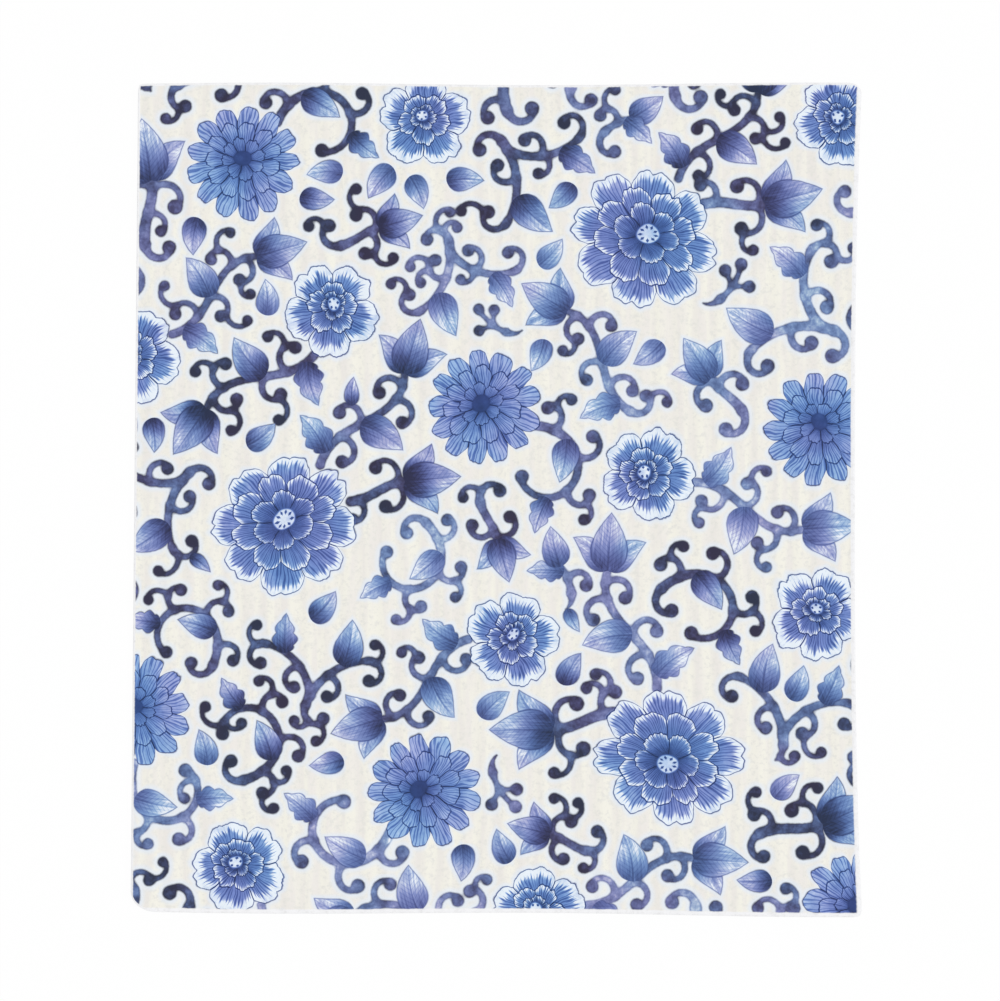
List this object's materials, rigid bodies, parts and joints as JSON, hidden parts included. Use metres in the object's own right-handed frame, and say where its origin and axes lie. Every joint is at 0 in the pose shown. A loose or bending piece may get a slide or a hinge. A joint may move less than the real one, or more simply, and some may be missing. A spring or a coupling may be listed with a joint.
{
  "type": "sponge cleaning cloth",
  "caption": "Flat rectangular sponge cloth, with fine parallel ribs on its printed upper face, a plain flat underside and softly pressed cut edges with rounded corners.",
  "frame": {"origin": "middle of the outline's box, on the plain underside", "axes": "+Y along the ribs and the cloth's length, towards its back edge, +X across the ribs to the right, +Z out of the printed face"},
  "size_m": [0.1736, 0.1982, 0.0018],
  "materials": {
    "sponge_cloth": "matt, dry cellulose and cotton sponge in cream, printed in blues on the ribbed face"
  },
  "bodies": {
    "root": {"cloth": "sponge_cloth"}
  },
  "joints": []
}
